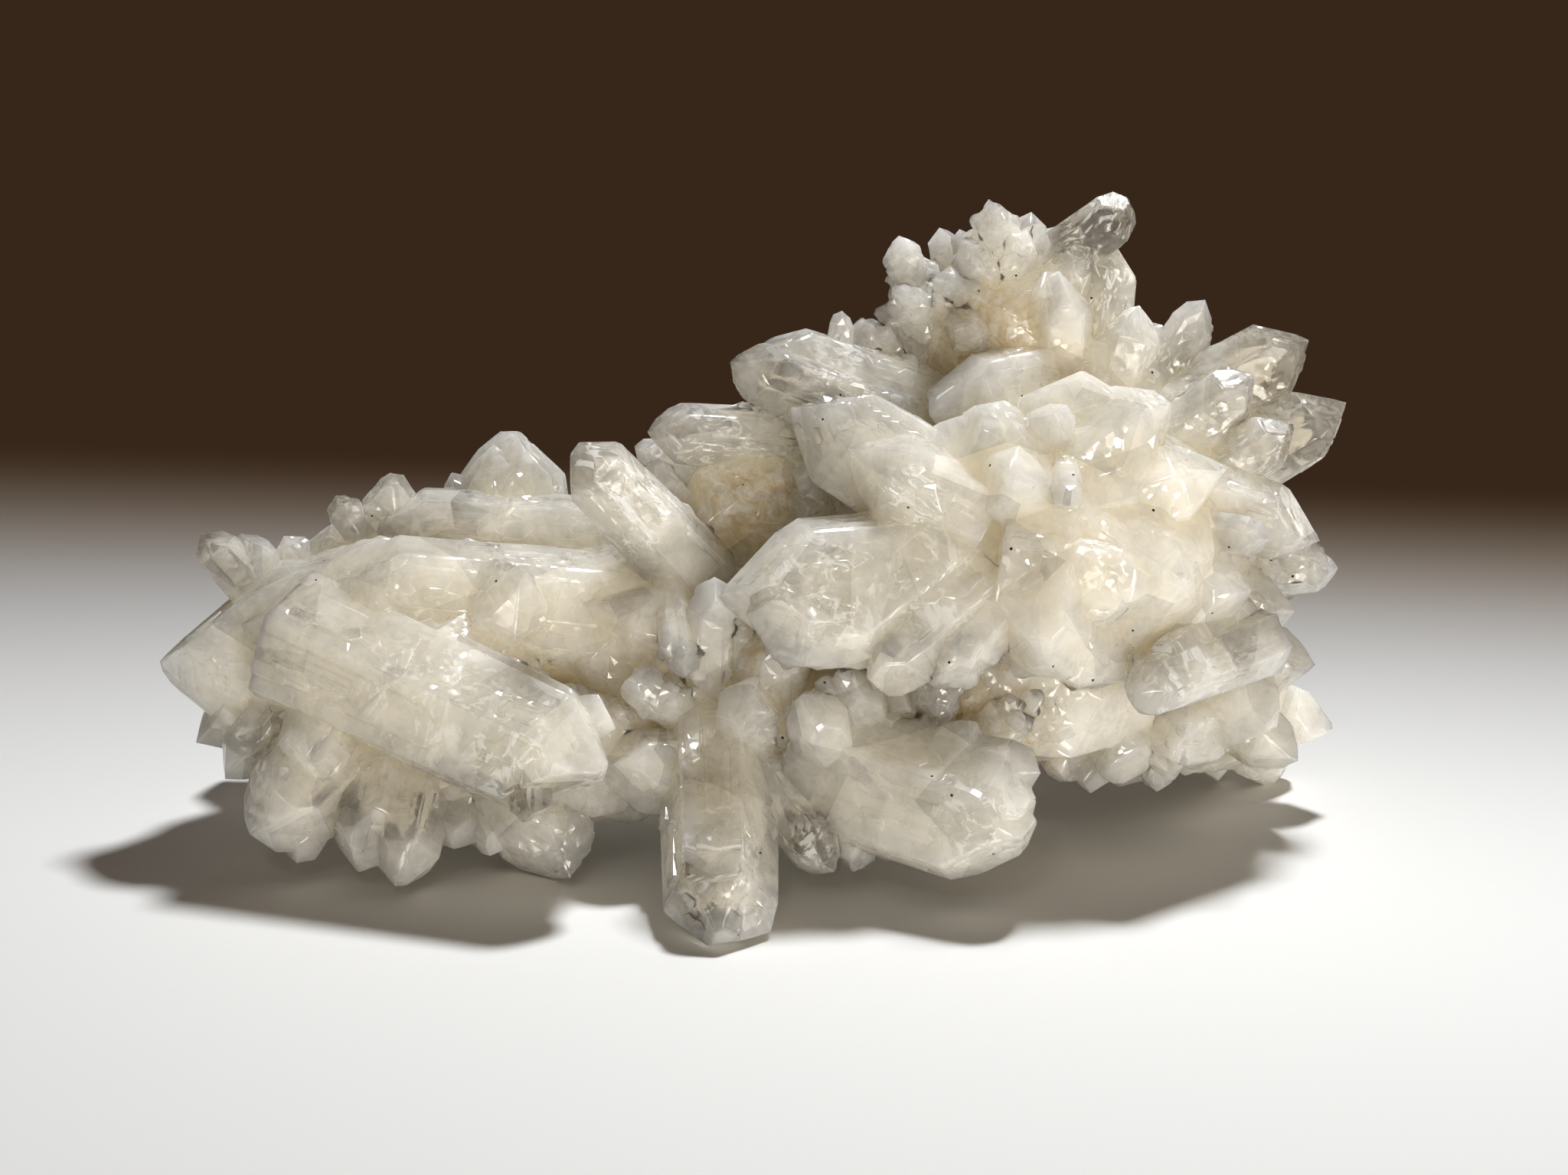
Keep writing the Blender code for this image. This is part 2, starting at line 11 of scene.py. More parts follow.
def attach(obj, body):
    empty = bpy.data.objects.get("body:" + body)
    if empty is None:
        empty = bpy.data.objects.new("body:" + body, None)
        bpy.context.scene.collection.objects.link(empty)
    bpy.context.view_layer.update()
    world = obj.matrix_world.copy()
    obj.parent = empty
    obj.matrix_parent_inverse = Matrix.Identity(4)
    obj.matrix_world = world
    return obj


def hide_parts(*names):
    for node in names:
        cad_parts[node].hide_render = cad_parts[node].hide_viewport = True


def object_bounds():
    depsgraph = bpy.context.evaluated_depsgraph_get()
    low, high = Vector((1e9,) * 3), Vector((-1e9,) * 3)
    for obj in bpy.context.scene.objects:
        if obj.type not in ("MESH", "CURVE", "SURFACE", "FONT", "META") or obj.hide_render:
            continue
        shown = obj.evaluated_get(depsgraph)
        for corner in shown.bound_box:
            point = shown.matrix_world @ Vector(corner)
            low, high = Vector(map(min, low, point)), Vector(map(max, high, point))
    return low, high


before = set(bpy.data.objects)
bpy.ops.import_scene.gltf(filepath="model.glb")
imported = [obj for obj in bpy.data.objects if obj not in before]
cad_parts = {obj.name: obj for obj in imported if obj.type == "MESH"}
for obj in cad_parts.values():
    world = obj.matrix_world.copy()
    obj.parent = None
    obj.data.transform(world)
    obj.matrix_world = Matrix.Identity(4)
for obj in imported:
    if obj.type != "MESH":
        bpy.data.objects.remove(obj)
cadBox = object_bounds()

mm = 0.001


def linear(hexColour):
    channels = [int(hexColour.lstrip("#")[i:i + 2], 16) / 255 for i in (0, 2, 4)]
    return [c / 12.92 if c <= 0.04045 else ((c + 0.055) / 1.055) ** 2.4 for c in channels] + [1]


def addNode(tree, kind, settings=None, links=None):
    # settings are the node's own values or, where it has a socket of that name, the socket's
    node = tree.nodes.new(kind)
    for name, value in (settings or {}).items():
        if isinstance(name, str) and hasattr(node, name):
            setattr(node, name, value)
        else:
            node.inputs[name].default_value = value
    for name, socket in (links or {}).items():
        tree.links.new(socket, node.inputs[name])
    return node


def newMaterial(name):
    material = bpy.data.materials.new(name)
    material.use_nodes = True
    material.node_tree.nodes.clear()
    return material, material.node_tree


def newObject(name, bm, material):
    mesh = bpy.data.meshes.new(name)
    bm.to_mesh(mesh)
    bm.free()
    mesh.materials.append(material)
    made = bpy.data.objects.new(name, mesh)
    bpy.context.scene.collection.objects.link(made)
    return made


def smoothstep(low, high, value):
    t = max(0.0, min(1.0, (value - low) / (high - low)))
    return t * t * (3 - 2 * t)


def sphereDirections(count):
    golden = math.pi * (3 - math.sqrt(5))
    for k in range(count):
        height = 1 - 2 * (k + 0.5) / count
        ring = math.sqrt(1 - height * height)
        yield Vector((ring * math.cos(golden * k), ring * math.sin(golden * k), height))


# The eye: level with the cluster's upper half, looking slightly down on it

view = {
    "aim": (0.00153, -0.00346, 0.0175),   # m
    "distance": 170.0,                    # mm
    "down": 15.0,                         # degrees
    "seenWidth": 102.4,                   # mm across the picture at the aim
    "picture": (2048, 1535),              # pixels
}

viewDown = math.radians(view["down"])
viewForward = Vector((0, math.cos(viewDown), -math.sin(viewDown)))
viewUp = Vector((0, math.sin(viewDown), math.cos(viewDown)))
eye = Vector(view["aim"]) - viewForward * view["distance"] * mm


def buildCamera():
    camera = bpy.data.cameras.new("camera")
    camera.sensor_width = 36
    camera.lens = camera.sensor_width * view["distance"] / view["seenWidth"]
    camera.clip_start = 0.01
    made = bpy.data.objects.new("camera", camera)
    made.location = eye
    made.rotation_euler = (math.pi / 2 - viewDown, 0, 0)
    bpy.context.scene.collection.objects.link(made)
    bpy.context.scene.camera = made


def seenSpot(tree, pixel):
    # where the quartz shows at that pixel of the picture
    perPixel = view["seenWidth"] * mm / view["picture"][0]
    across = (pixel[0] - view["picture"][0] / 2) * perPixel
    up = (view["picture"][1] / 2 - pixel[1]) * perPixel
    towards = Vector(view["aim"]) + Vector((1, 0, 0)) * across + viewUp * up - eye
    return tree.ray_cast(eye, towards.normalized())[0]


# The grown mass: the solid's own facets, cut finer, with growth steps on them and worn edges

growth = {
    "flatTo": 0.4,            # degrees; facets closer than this are one face
    "edgeStep": 0.65,         # mm between the points along an edge
    "faceStep": 1.10,         # mm between the points on a face
    "fromOutline": 0.42,      # of that, kept between those points and the outline
    "rowStep": 0.87,          # of that, from one row of them to the next
    "rowStart": (0.7, 0.2),   # of that, where the even and the odd rows start
    "besideFrom": 0.5,        # mm2, smaller faces have no points beside their sharp edges
    "sharpFrom": 16.0,        # degrees
    "jitter": 0.2,            # of the distance between the points on a face
    "chamfer": 0.13,          # mm from a sharp edge to the row of points beside it
    "edgeWear": 0.085,        # mm, how far a sharp edge is worn back
    "wearEven": 0.25,         # of the wear, what is the same everywhere
    "wearChips": 1.5,         # of the wear, in the middle of a chip
    "wearFine": 0.5,          # of the wear, in small nicks
    "wearMost": 1.6,          # of the wear, never more
    "chipSize": 1.1,          # mm, length of a chip along an edge
    "nickSize": 0.3,          # of a chip's length
    "footHeight": 0.4,        # mm above the table, where edges are left as they are
}

steps = {
    "faceFrom": 6.0,          # mm2, smaller faces carry none
    "perArea": 0.16,          # steps on each mm2
    "mostOnFace": 9,
    "halfLength": (0.7, 3.4), # mm
    "halfWidth": (0.25, 1.1),
    "height": (0.05, 0.17),
    "wall": 0.05,
    "slant": (0.3, 1.1),
    "lean": (-0.9, 0.9),
    "fullFrom": (9.0, 4.0),   # mm long and wide; on a smaller face they are shorter and narrower
    "clear": 0.16,            # mm kept from the face's outline
    "tries": 7,
    "shrink": 0.09,           # smaller by this at each try
}

combs = {                     # short ridges side by side across a prism face
    "faceFrom": 14.0,         # mm2
    "share": 0.45,            # of those faces
    "ridges": (4, 9),
    "spacing": (0.22, 0.40),  # mm
    "halfLength": (0.25, 0.75),
    "halfWidth": 0.055,
    "height": 0.045,
    "slant": 0.3,
    "shift": 0.05,            # mm from one to the next, along the ridges
}


def cleanFacets(source):
    bm = bmesh.new()
    bm.from_mesh(source)
    bmesh.ops.remove_doubles(bm, verts=bm.verts, dist=1e-6)
    bmesh.ops.dissolve_limit(
        bm, angle_limit=math.radians(growth["flatTo"]), verts=bm.verts, edges=bm.edges
    )
    return bm


def longestRun(face):
    longest = max(face.edges, key=lambda e: e.calc_length())
    return (longest.verts[1].co - longest.verts[0].co).normalized()


def splitEdges(bm):
    for edge in list(bm.edges):
        parts = max(1, round(edge.calc_length() / (growth["edgeStep"] * mm)))
        start = edge.verts[0]
        for left in range(parts, 1, -1):
            made, start = bmesh.utils.edge_split(edge, start, 1 / left)


def sharpVerts(bm):
    sharp = math.radians(growth["sharpFrom"])
    found = set()
    for edge in bm.edges:
        if len(edge.link_faces) == 2 and edge.is_convex and edge.calc_face_angle() > sharp:
            found.update(edge.verts)
    return found


def insideOutline(x, y, outline):
    inside = False
    x1, y1 = outline[-1]
    for x2, y2 in outline:
        if (y1 > y) != (y2 > y) and x < (x2 - x1) * (y - y1) / (y2 - y1) + x1:
            inside = not inside
        x1, y1 = x2, y2
    return inside


def outlineDistance(x, y, outline):
    least = 1e9
    x1, y1 = outline[-1]
    for x2, y2 in outline:
        dx, dy = x2 - x1, y2 - y1
        t = max(0.0, min(1.0, ((x - x1) * dx + (y - y1) * dy) / (dx * dx + dy * dy + 1e-12)))
        least = min(least, (x - x1 - t * dx) ** 2 + (y - y1 - t * dy) ** 2)
        x1, y1 = x2, y2
    return math.sqrt(least)


class Step:
    # a lath with pointed ends, lying along the face's run or across it, higher at one end
    def __init__(self, middle, halfLength, halfWidth, height, wall, slant, lean, across=False):
        self.middle = middle
        self.halfLength = halfLength
        self.halfWidth = halfWidth
        self.height = height
        self.wall = wall          # how far in from its outline it is at full height
        self.slant = slant        # how long its pointed ends are
        self.lean = lean
        self.across = across

    def corners(self, inset):
        end = self.halfLength - inset * math.sqrt(1 + self.slant ** 2)
        edge = self.halfWidth - inset
        if edge < 0.01:
            found = [(-end, 0), (end, 0)]
        else:
            side = max(0.01, end - self.slant * edge)
            found = [(-end, 0), (-side, -edge), (side, -edge), (end, 0), (side, edge), (-side, edge)]
        if self.across:
            found = [(y, x) for x, y in found]
        return [(self.middle[0] + x, self.middle[1] + y) for x, y in found]

    def heightAt(self, x, y):
        s, t = x - self.middle[0], y - self.middle[1]
        if self.across:
            s, t = t, s
        fromPoint = (self.halfLength - abs(s) - self.slant * abs(t)) / math.sqrt(1 + self.slant ** 2)
        inside = min(self.halfWidth - abs(t), fromPoint)
        if inside <= 0:
            return 0.0
        rise = 1 - self.lean * (0.5 - s / (2 * self.halfLength))
        return self.height * rise * min(1.0, inside / self.wall)


def fits(step, outline):
    # its corners and the points between them are all well inside the face's outline
    corners = step.corners(0)
    for k, (x2, y2) in enumerate(corners):
        x1, y1 = corners[k - 1]
        parts = max(1, math.ceil(math.hypot(x2 - x1, y2 - y1) / 0.4))
        for part in range(parts):
            x, y = x1 + (x2 - x1) * part / parts, y1 + (y2 - y1) * part / parts
            if not insideOutline(x, y, outline) or outlineDistance(x, y, outline) < steps["clear"]:
                return False
    return not any(step.heightAt(x, y) > 0 for x, y in outline)


def layComb(outline, box, rng):
    count = rng.randint(*combs["ridges"])
    spacing = rng.uniform(*combs["spacing"])
    half = rng.uniform(*combs["halfLength"])
    x = rng.uniform(box[0], box[2])
    y = rng.uniform(box[1], box[3])
    laid = []
    for k in range(count):
        length = half * rng.uniform(0.6, 1.1)
        middle = (x + k * spacing * rng.uniform(0.9, 1.1), y + k * combs["shift"])
        ridge = Step(middle, length, combs["halfWidth"], combs["height"], combs["halfWidth"],
                     combs["slant"], 0.0, across=True)
        if fits(ridge, outline):
            laid.append(ridge)
    return laid


def laySteps(outline, area, rng):
    xs, ys = zip(*outline)
    box = (min(xs), min(ys), max(xs), max(ys))
    shorter = min(1.0, (box[2] - box[0]) / steps["fullFrom"][0])
    narrower = min(1.0, (box[3] - box[1]) / steps["fullFrom"][1])
    laid = []
    if area >= steps["faceFrom"]:
        for k in range(min(steps["mostOnFace"], round(area * steps["perArea"]))):
            half = rng.uniform(*steps["halfLength"]) * shorter
            width = rng.uniform(*steps["halfWidth"]) * narrower
            for turn in range(steps["tries"]):
                shrink = 1 - steps["shrink"] * turn
                middle = (rng.uniform(box[0], box[2]), rng.uniform(box[1], box[3]))
                step = Step(middle, half * shrink, width * shrink, rng.uniform(*steps["height"]),
                            steps["wall"], rng.uniform(*steps["slant"]), rng.uniform(*steps["lean"]))
                wide = step.halfWidth > 2 * step.wall
                long = step.halfLength > 2 * step.wall + step.slant * step.halfWidth
                if wide and long and fits(step, outline):
                    laid.append(step)
                    break
    if area >= combs["faceFrom"] and rng.random() < combs["share"]:
        laid += layComb(outline, box, rng)
    return laid


def cutFace(face, run, sharp, rng):
    # the face as fine triangles: points of its own outline, of its steps and of a loose grid
    normal = face.normal.copy()
    run = (run - normal * run.dot(normal)).normalized()
    side = normal.cross(run)
    origin = face.verts[0].co.copy()
    outline = [((v.co - origin).dot(run) / mm, (v.co - origin).dot(side) / mm) for v in face.verts]
    area = face.calc_area() / mm ** 2
    laid = laySteps(outline, area, rng)
    points = [Vector(p) for p in outline]
    lines = []
    for step in laid:
        for inset in (0, step.wall):
            corners = step.corners(inset)
            first = len(points)
            points += [Vector(c) for c in corners]
            count = len(corners)
            lines += [(first + k, first + (k + 1) % count) for k in range(count if count > 2 else 1)]
    count = len(outline)
    if area > growth["besideFrom"]:
        for k, vert in enumerate(face.verts):
            if vert in sharp:
                x1, y1 = outline[k - 1]
                x2, y2 = outline[(k + 1) % count]
                length = math.hypot(x2 - x1, y2 - y1) + 1e-9
                x = outline[k][0] - (y2 - y1) / length * growth["chamfer"]
                y = outline[k][1] + (x2 - x1) / length * growth["chamfer"]
                free = growth["chamfer"] * 0.7
                if insideOutline(x, y, outline) and outlineDistance(x, y, outline) > free:
                    points.append(Vector((x, y)))
    pitch = growth["faceStep"]
    if area > pitch ** 2 * 1.5:
        xs, ys = zip(*outline)
        y = min(ys) + pitch * 0.4
        odd = False
        while y < max(ys):
            x = min(xs) + pitch * growth["rowStart"][odd]
            while x < max(xs):
                px = x + rng.uniform(-growth["jitter"], growth["jitter"]) * pitch
                py = y + rng.uniform(-growth["jitter"], growth["jitter"]) * pitch
                free = growth["fromOutline"] * pitch
                if insideOutline(px, py, outline) and outlineDistance(px, py, outline) > free:
                    points.append(Vector((px, py)))
                x += pitch
            y += pitch * growth["rowStep"]
            odd = not odd
    cut = delaunay_2d_cdt(points, lines, [list(range(count))], 1, 1e-5, True)
    return cut, laid, origin, run, side, normal


def insideTriangles(triangles, ownCorner, count):
    # the triangulation also fills flat slivers outside the outline, which are taken off again
    users = {}
    for number, corners in enumerate(triangles):
        for k in range(3):
            users.setdefault(frozenset((corners[k], corners[k - 1])), set()).add(number)

    def bare(edge):
        a, b = (ownCorner[i] for i in edge)
        onOutline = a is not None and b is not None and (a - b) % count in (1, count - 1)
        return len(users[edge]) == 1 and not onOutline

    waiting = [edge for edge in users if bare(edge)]
    gone = set()
    while waiting:
        edge = waiting.pop()
        if bare(edge):
            number = next(iter(users[edge]))
            gone.add(number)
            corners = triangles[number]
            for k in range(3):
                beside = frozenset((corners[k], corners[k - 1]))
                users[beside].discard(number)
                if bare(beside):
                    waiting.append(beside)
    return [corners for number, corners in enumerate(triangles) if number not in gone]


def cutFine(bm, longestRuns):
    # every face cut fine, in one mesh: the face's number and run stay with its triangles
    rng = random.Random(11)
    sharp = sharpVerts(bm)
    bm.verts.ensure_lookup_table()
    bm.verts.index_update()
    places = [v.co.copy() for v in bm.verts]
    triangles = []
    facets = []
    runs = []
    for number, face in enumerate(bm.faces):
        cut, laid, origin, run, side, normal = cutFace(face, longestRuns[number], sharp, rng)
        cutVerts, cutFaces, fromVerts = cut[0], cut[2], cut[3]
        count = len(face.verts)
        ownCorner = [min((i for i in before if i < count), default=None) for before in fromVerts]
        names = []
        for k, place in enumerate(cutVerts):
            if ownCorner[k] is not None:
                names.append(face.verts[ownCorner[k]].index)
            else:
                height = max((s.heightAt(place.x, place.y) for s in laid), default=0.0)
                names.append(len(places))
                places.append(origin + (run * place.x + side * place.y + normal * height) * mm)
        for corners in insideTriangles(cutFaces, ownCorner, count):
            triangles.append([names[c] for c in corners])
            facets.append(number)
        runs.append(run)
    return places, triangles, facets, runs


def toBmesh(places, triangles, facets):
    bm = bmesh.new()
    facet = bm.faces.layers.int.new("facet")
    verts = [bm.verts.new(p) for p in places]
    for triangle, number in zip(triangles, facets):
        try:
            face = bm.faces.new([verts[i] for i in triangle])
        except ValueError:
            continue
        face[facet] = number
    bmesh.ops.delete(bm, geom=[v for v in bm.verts if not v.link_faces], context="VERTS")
    bm.normal_update()
    return bm


def wearEdges(bm):
    # sharp edges worn back in small chips, and nothing pushed out of the solid's own box
    size = growth["chipSize"] * mm
    worn = {vert: vert.normal.copy() for vert in sharpVerts(bm)}
    for vert, normal in worn.items():
        chip = noise.noise(vert.co / size) * 0.5 + 0.5
        fine = noise.noise(vert.co / (size * growth["nickSize"])) * 0.5 + 0.5
        wear = growth["wearEven"] + growth["wearChips"] * chip ** 3 + growth["wearFine"] * fine
        if vert.co.z > growth["footHeight"] * mm:
            vert.co -= normal * growth["edgeWear"] * mm * min(growth["wearMost"], wear)
    keepInBox(bm)


def keepInBox(bm):
    low, high = cadBox
    for vert in bm.verts:
        vert.co = Vector([max(low[k], min(high[k], vert.co[k])) for k in range(3)])


# What changes from place to place in the growth, kept with its points

clarity = {
    "clearThinner": 3.4,      # mm; thinner than this is as clear as the tips
    "milkyThicker": 10.0,     # mm; thicker than this is as milky as the body
    "thinAmount": 0.28,       # how clear a thin part is without a clear spot
    "thickSpots": 0.35,       # how much of a clear spot's amount a thick part takes
    "startBelow": 0.2,        # mm under the surface, where a thickness is measured from
    "startAbove": 0.12,       # mm over the surface, where a hollow is measured from
    "hollowReach": 5.0,       # mm; how far the walls of a hollow may be
    "hollowRays": 24,
    "leastRise": 0.15,        # rays that run flatter along the surface aren't counted
    "spotCore": 0.45,         # of a spot's reach, where its amount is whole
    "clearSpots": [           # crystals clearer than the rest: pixel, reach in mm, how much
        ((520, 820), 17.0, 0.5),
        ((760, 590), 3.5, 0.45), ((935, 1150), 5.5, 0.5), ((1048, 1115), 3.5, 0.6),
        ((1440, 285), 5.0, 0.6), ((1660, 455), 5.5, 0.55), ((1700, 555), 5.5, 0.6),
        ((985, 490), 4.0, 0.4), ((900, 550), 5.0, 0.2), ((268, 728), 4.0, 0.3),
        ((450, 665), 2.5, 0.5), ((640, 600), 5.0, 0.2), ((1700, 660), 4.0, 0.35),
        ((700, 1030), 2.6, 0.4),
    ],
    "veilAndHighlightSpots": [            # crystals with healed fractures inside, and painted highlights: pixel, reach in mm, how much
        # at (815, 660) the white is partly a real fracture and partly a painted highlight; at (1190,
        # 655) it is a painted highlight, where a face reflects the lamp
        ((815, 660), 4.6, 1.0), ((775, 600), 3.0, 0.7), ((918, 1100), 4.6, 0.6),
        ((1048, 1112), 2.6, 0.7), ((1560, 880), 4.6, 0.7), ((1435, 300), 3.6, 0.6),
        ((1440, 390), 3.6, 0.9), ((1660, 560), 4.0, 0.6), ((1190, 655), 2.8, 1.0),
        ((1120, 500), 5.0, 0.6), ((1280, 1080), 4.0, 0.6), ((930, 570), 4.0, 0.6),
        ((1080, 760), 5.5, 0.5), ((1230, 760), 4.0, 0.6), ((560, 900), 6.0, 0.5),
        ((660, 990), 4.0, 0.6), ((1500, 500), 5.0, 0.5), ((1690, 650), 4.0, 0.6),
    ],
    "ironAndShadeSpots": [            # hollows stained by iron, and one spot of painted shade: pixel, reach in mm, how much
        ((985, 655), 4.6, 1.0), ((930, 640), 3.0, 0.8), ((1290, 430), 4.5, 0.85),
        ((1240, 470), 3.0, 0.6), ((1250, 930), 4.8, 0.8), ((1330, 960), 4.0, 0.6),
        ((990, 840), 1.9, 1.1), ((1380, 1000), 3.0, 0.5), ((830, 840), 3.6, 0.35),
        # the spot at (930, 1000) is painted shade: it darkens the front crystal where it lies in shade
        ((1180, 900), 3.0, 0.5), ((1400, 470), 2.4, 0.4), ((930, 1000), 4.5, 0.4),
    ],
}


def spotAmount(place, spots):
    core = clarity["spotCore"]
    return max((much * (1 - smoothstep(core * reach, reach, (place - centre).length / mm))
                for centre, reach, much in spots), default=0.0)


def foundSpots(spots, tree):
    found = [(seenSpot(tree, pixel), reach, much) for pixel, reach, much in spots]
    return [spot for spot in found if spot[0] is not None]


def measure(bm, tree):
    # thickness of the quartz behind each point, how deep in a hollow it is, its stain and painted
    # shade, and its veils and painted highlights
    clear = bm.verts.layers.float.new("clear")
    hollow = bm.verts.layers.float.new("hollow")
    ironAndShade = bm.verts.layers.float.new("ironAndShade")
    veilAndHighlight = bm.verts.layers.float.new("veilAndHighlight")
    directions = list(sphereDirections(clarity["hollowRays"]))
    reach = clarity["hollowReach"] * mm
    clearSpots = foundSpots(clarity["clearSpots"], tree)
    ironAndShadeSpots = foundSpots(clarity["ironAndShadeSpots"], tree)
    veilAndHighlightSpots = foundSpots(clarity["veilAndHighlightSpots"], tree)
    for vert in bm.verts:
        normal = vert.normal
        hit = tree.ray_cast(vert.co - normal * clarity["startBelow"] * mm, -normal)
        thick = (hit[3] if hit[3] is not None else 0) / mm
        thin = 1 - smoothstep(clarity["clearThinner"], clarity["milkyThicker"], thick)
        thinOrNot = clarity["thickSpots"] + (1 - clarity["thickSpots"]) * thin
        spotClear = spotAmount(vert.co, clearSpots) * thinOrNot
        vert[clear] = min(1.0, thin * clarity["thinAmount"] + spotClear)
        vert[ironAndShade] = spotAmount(vert.co, ironAndShadeSpots)
        vert[veilAndHighlight] = spotAmount(vert.co, veilAndHighlightSpots)
        start = vert.co + normal * clarity["startAbove"] * mm
        seen = [d for d in directions if d.dot(normal) > clarity["leastRise"]]
        blocked = sum(tree.ray_cast(start, d, reach)[0] is not None for d in seen)
        vert[hollow] = blocked / max(1, len(seen))


def blur(bm, name, times):
    layer = bm.verts.layers.float[name]
    for turn in range(times):
        mean = {}
        for vert in bm.verts:
            near = [edge.other_vert(vert)[layer] for edge in vert.link_edges]
            mean[vert] = (vert[layer] + sum(near)) / (1 + len(near))
        for vert, value in mean.items():
            vert[layer] = value


def markGrowthLines(mesh, runs):
    # place along and across the facet's run, in mm, at each corner, shifted for each facet
    facet = mesh.attributes["facet"].data
    line = mesh.attributes.new("growthLine", "FLOAT_VECTOR", "CORNER")
    rng = random.Random(7)
    shift = [[rng.uniform(0, 50) for k in range(3)] for run in runs]
    for polygon in mesh.polygons:
        k = facet[polygon.index].value
        for loop in polygon.loop_indices:
            co = mesh.vertices[mesh.loops[loop].vertex_index].co / mm
            along = co.dot(runs[k])
            across = (co - runs[k] * along).length
            line.data[loop].vector = (along + shift[k][0], across * 0.22 + shift[k][1], shift[k][2])


def openEdges(bm):
    return sum(len(edge.link_faces) != 2 for edge in bm.edges)


print("growing the quartz")
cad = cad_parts["quartz_cluster"]
facetMesh = cleanFacets(cad.data)
solidTree = BVHTree.FromBMesh(facetMesh)
longestRuns = [longestRun(face) for face in facetMesh.faces]
splitEdges(facetMesh)
places, triangles, facets, runs = cutFine(facetMesh, longestRuns)
facetMesh.free()
grown = toBmesh(places, triangles, facets)
wearEdges(grown)
print("facets", len(runs), "triangles", len(grown.faces), "open edges", openEdges(grown))
measure(grown, solidTree)
blur(grown, "clear", 3)
blur(grown, "hollow", 2)


# Druse: in the hollows and on some rims the surface breaks up in a crust of small crystals

druse = {
    "blockSize": 1.25,        # mm
    "blockHeight": 0.72,      # mm
    "leastHeight": 0.4,       # the lowest block's share of the height
    "groove": 4.0,            # how steeply a block falls off to its groove
    "tip": (1.2, 1.6),        # height in a tip's middle, and its fall towards the sides
    "cutTimes": 2,
    "cutAmount": 0.35,        # thinner crust isn't cut finer
    "cutFrom": 0.5,           # mm, shorter edges are left as they are
    "footHeight": 0.6,        # mm above the table, where the surface is left as it is
    "milkier": 0.10,
    "patchSize": 6.0,         # mm
    "hollow": (0.30, 0.80),   # no crust, full crust
    "patch": (0.45, 0.65),
    "turnedFrom": (0.2, 0.6), # on faces turned from the eye, where the crusts are guessed
    "hollowBehind": (0.10, 0.40),
    "patchBehind": (0.30, 0.50),
    "spots": [                # crusts seen in the picture: pixel, reach in mm, how much
        ((1200, 380), 5.0, 1.0), ((1180, 440), 4.0, 1.0), ((1300, 320), 4.0, 0.7),
        ((1240, 900), 5.0, 0.7), ((1340, 950), 4.5, 0.7), ((1600, 1000), 6.0, 0.3),
        ((1500, 960), 5.0, 0.3), ((1700, 930), 4.0, 0.25), ((470, 690), 4.0, 0.5),
        ((990, 650), 3.5, 0.7), ((880, 890), 3.0, 0.5), ((740, 1090), 4.0, 0.6),
        ((1120, 1110), 2.5, 0.6), ((1700, 720), 3.5, 0.7), ((830, 930), 2.5, 0.5),
    ],
}


def crustAmount(vert, hollow, spots):
    patch = noise.noise(vert.co / (druse["patchSize"] * mm)) * 0.5 + 0.5
    inHollow = smoothstep(*druse["hollow"], hollow) * smoothstep(*druse["patch"], patch)
    behind = smoothstep(*druse["hollowBehind"], hollow) * smoothstep(*druse["patchBehind"], patch)
    behind *= smoothstep(*druse["turnedFrom"], vert.normal.dot(viewForward))
    return min(1.0, max(behind, inHollow + spotAmount(vert.co, spots)))


def blockRise(place, normal):
    # a small crystal's low six-sided tip, as high and turned as that crystal is, in a groove
    spot = place / (druse["blockSize"] * mm)
    distances, centres = noise.voronoi(spot)
    own = noise.cell_vector(centres[0] * 7.3)
    away = spot - centres[0]
    first = normal.orthogonal().normalized()
    x, y = away.dot(first), away.dot(normal.cross(first))
    turns = [own.y * math.pi + k * math.pi / 3 for k in range(3)]
    spread = max(abs(x * math.cos(turn) + y * math.sin(turn)) for turn in turns)
    groove = min(1.0, (distances[1] - distances[0]) * druse["groove"])
    height = druse["leastHeight"] + (1 - druse["leastHeight"]) * own.x
    return height * max(0.0, druse["tip"][0] - druse["tip"][1] * spread) * groove


def dropDoubled(bm):
    # now and then the cut leaves two faces back to back on the same corners
    seen = {}
    doubled = []
    for face in bm.faces:
        corners = frozenset(face.verts)
        if corners in seen:
            doubled += [face, seen[corners]]
        seen[corners] = face
    bmesh.ops.delete(bm, geom=doubled, context="FACES")


def raiseCrust(bm, tree):
    # the crusts cut finer, pushed up in small crystals and milkier than the faces round them
    hollow = bm.verts.layers.float["hollow"]
    clear = bm.verts.layers.float["clear"]
    spots = foundSpots(druse["spots"], tree)
    for turn in range(druse["cutTimes"]):
        amounts = {vert: crustAmount(vert, vert[hollow], spots) for vert in bm.verts}
        edges = [e for e in bm.edges if min(amounts[v] for v in e.verts) > druse["cutAmount"]
                 and e.calc_length() > druse["cutFrom"] * mm]
        bmesh.ops.subdivide_edges(bm, edges=edges, cuts=1)
        bmesh.ops.triangulate(bm, faces=[f for f in bm.faces if len(f.verts) > 3])
        dropDoubled(bm)
        bm.normal_update()
    risen = {vert: (vert.normal.copy(), crustAmount(vert, vert[hollow], spots)) for vert in bm.verts}
    for vert, (normal, amount) in risen.items():
        vert[clear] -= amount * druse["milkier"]
        if amount > 0.05 and vert.co.z > druse["footHeight"] * mm:
            vert.co += normal * amount * blockRise(vert.co, normal) * druse["blockHeight"] * mm
    keepInBox(bm)


raiseCrust(grown, solidTree)
print("with its crust: triangles", len(grown.faces), "open edges", openEdges(grown))
